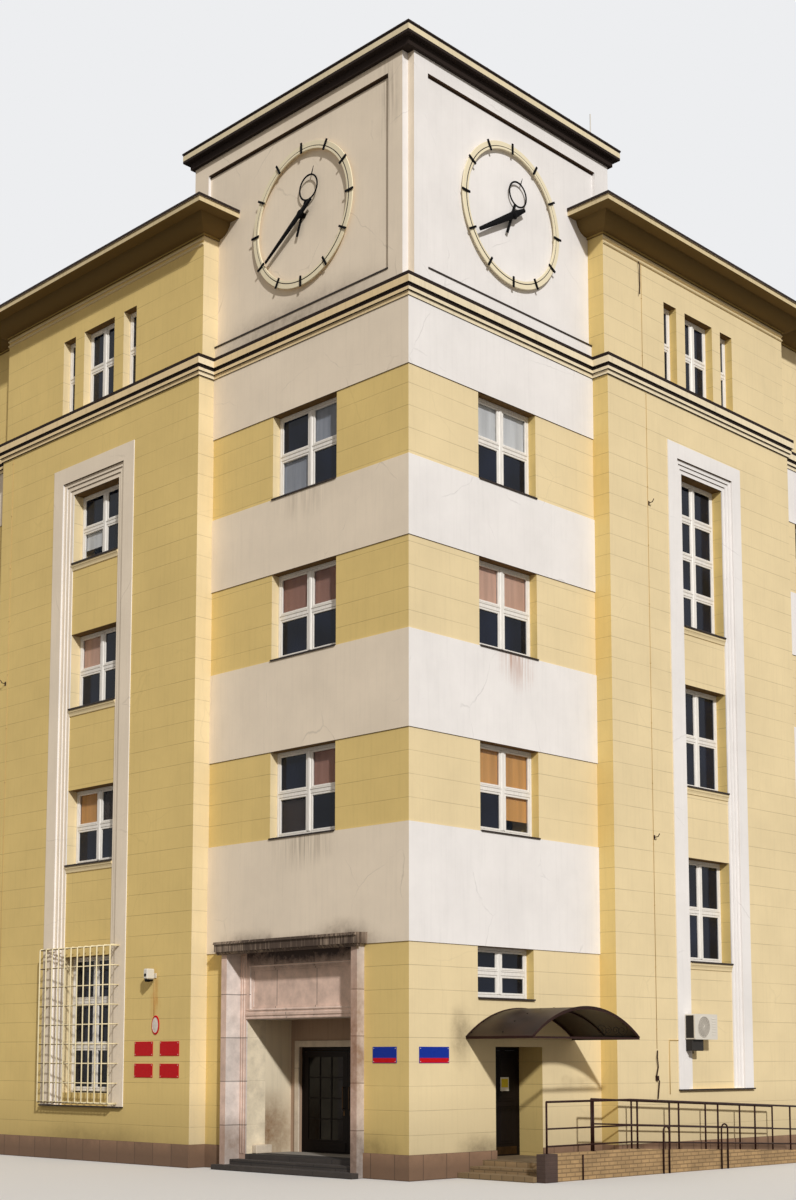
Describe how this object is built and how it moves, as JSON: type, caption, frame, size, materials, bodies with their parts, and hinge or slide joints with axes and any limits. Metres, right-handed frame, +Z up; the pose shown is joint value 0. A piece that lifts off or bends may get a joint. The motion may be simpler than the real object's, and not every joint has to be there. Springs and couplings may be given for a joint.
{
  "type": "corner office building",
  "caption": "Corner office building with a clock tower, two street wings with bay strips, a stone portal, deep eaves and a yard behind.",
  "frame": {"origin": "on the level ground under the street corner of the tower, where its two street faces meet", "axes": "+X along the right street face, +Y along the left street face, +Z up"},
  "size_m": [20.64, 22.34, 22.98],
  "materials": {
    "render_white": "matt lime render, painted white",
    "render_yellow": "matt lime render, painted pale ochre yellow",
    "stone_dark": "brown stone slabs, weathered",
    "brick_kerb": "brick kerb wall with a dark stone end",
    "stone_pale": "dressed limestone, weathered",
    "masonry_inner": "plain plastered masonry",
    "floor_slab": "cast concrete floor",
    "soffit_dark": "dark sheet metal eaves",
    "roof_sheet": "folded roof sheet, weathered",
    "window_frame": "wood, painted white",
    "window_glass": "window glass over dark rooms",
    "door_wood": "dark brown stained wood",
    "iron": "dark brown painted steel bar",
    "grille_iron": "wrought iron, painted ivory",
    "rail_steel": "dark brown painted steel tube",
    "clock_cream": "cream enamelled steel ring",
    "clock_dark": "black painted steel",
    "canopy_sheet": "brown translucent sheet",
    "unit_white": "white enamelled steel",
    "stone_steps": "worn dark stone steps"
  },
  "bodies": {
    "building": {"air_conditioner": "unit_white", "attic_walls": "render_yellow", "bay_roofs": "roof_sheet", "bay_walls": "render_yellow", "camera_housing": "unit_white", "canopy_frame": "iron", "canopy_sheet": "canopy_sheet", "clock_rings": "clock_cream", "clock_spindles": "clock_dark", "clock_wall_left": "render_white", "clock_wall_right": "render_white", "door_frames": "door_wood", "eaves": "soffit_dark", "far_walls": "render_yellow", "floors": "floor_slab", "hour_marks": "clock_dark", "iron_grille": "grille_iron", "lightning_rod": "rail_steel", "party_walls": "render_yellow", "plinth": "stone_dark", "porch_back_lintel": "masonry_inner", "porch_back_piers": "masonry_inner", "porch_ceiling": "masonry_inner", "porch_side_walls": "masonry_inner", "portal_beam": "stone_pale", "portal_hood": "stone_pale", "portal_jambs": "stone_pale", "portal_steps": "stone_steps", "ramp_and_steps": "stone_steps", "ramp_kerb": "brick_kerb", "ramp_railing": "rail_steel", "return_piers": "render_yellow", "string_course": "stone_pale", "strip_frames": "render_white", "strip_sills": "roof_sheet", "tower_piers_left": "render_yellow", "tower_piers_right": "render_yellow", "tower_rear_wall_left": "render_white", "tower_rear_wall_right": "render_white", "tower_roof": "roof_sheet", "tower_wall_left": "render_yellow", "tower_wall_right": "render_yellow", "white_bands": "render_white", "window_frames_street": "window_frame", "window_frames_yard": "window_frame", "window_glass": "window_glass", "window_sills": "roof_sheet", "wing_roof_left": "roof_sheet", "wing_roof_right": "roof_sheet", "yard_wall_left": "render_yellow", "yard_wall_right": "render_yellow"},
    "main_door_left": {"main_door_leaf_left": "door_wood"},
    "main_door_right": {"main_door_leaf_right": "door_wood"},
    "side_door": {"side_door_leaf": "door_wood"},
    "right_minute_hand": {"minute_hand_right": "clock_dark"},
    "right_hour_hand": {"hour_hand_right": "clock_dark"},
    "left_minute_hand": {"minute_hand_left": "clock_dark"},
    "left_hour_hand": {"hour_hand_left": "clock_dark"}
  },
  "joints": [
    {"name": "main_door_left_hinge", "type": "hinge", "parent": "building", "child": "main_door_left", "pos_m": [1.522, 4.422, 1.33], "axis": [0, 0, 1], "range_deg": [0, 90]},
    {"name": "main_door_right_hinge", "type": "hinge", "parent": "building", "child": "main_door_right", "pos_m": [1.522, 1.858, 1.33], "axis": [0, 0, -1], "range_deg": [0, 90]},
    {"name": "side_door_hinge", "type": "hinge", "parent": "building", "child": "side_door", "pos_m": [3.692, 0.662, 1.33], "axis": [0, 0, -1], "range_deg": [0, 90]},
    {"name": "right_minute_spin", "type": "hinge", "parent": "building", "child": "right_minute_hand", "pos_m": [3.05, -0.03, 19.38], "axis": [0, 1, 0], "continuous": true},
    {"name": "right_hour_spin", "type": "hinge", "parent": "building", "child": "right_hour_hand", "pos_m": [3.05, -0.03, 19.38], "axis": [0, 1, 0], "continuous": true},
    {"name": "left_minute_spin", "type": "hinge", "parent": "building", "child": "left_minute_hand", "pos_m": [-0.03, 3.05, 19.38], "axis": [1, 0, 0], "continuous": true},
    {"name": "left_hour_spin", "type": "hinge", "parent": "building", "child": "left_hour_hand", "pos_m": [-0.03, 3.05, 19.38], "axis": [1, 0, 0], "continuous": true}
  ],
  "couplings": [
    {"joint": "right_hour_spin", "follows": "right_minute_spin", "ratio": 0.083333},
    {"joint": "left_hour_spin", "follows": "left_minute_spin", "ratio": 0.083333}
  ]
}
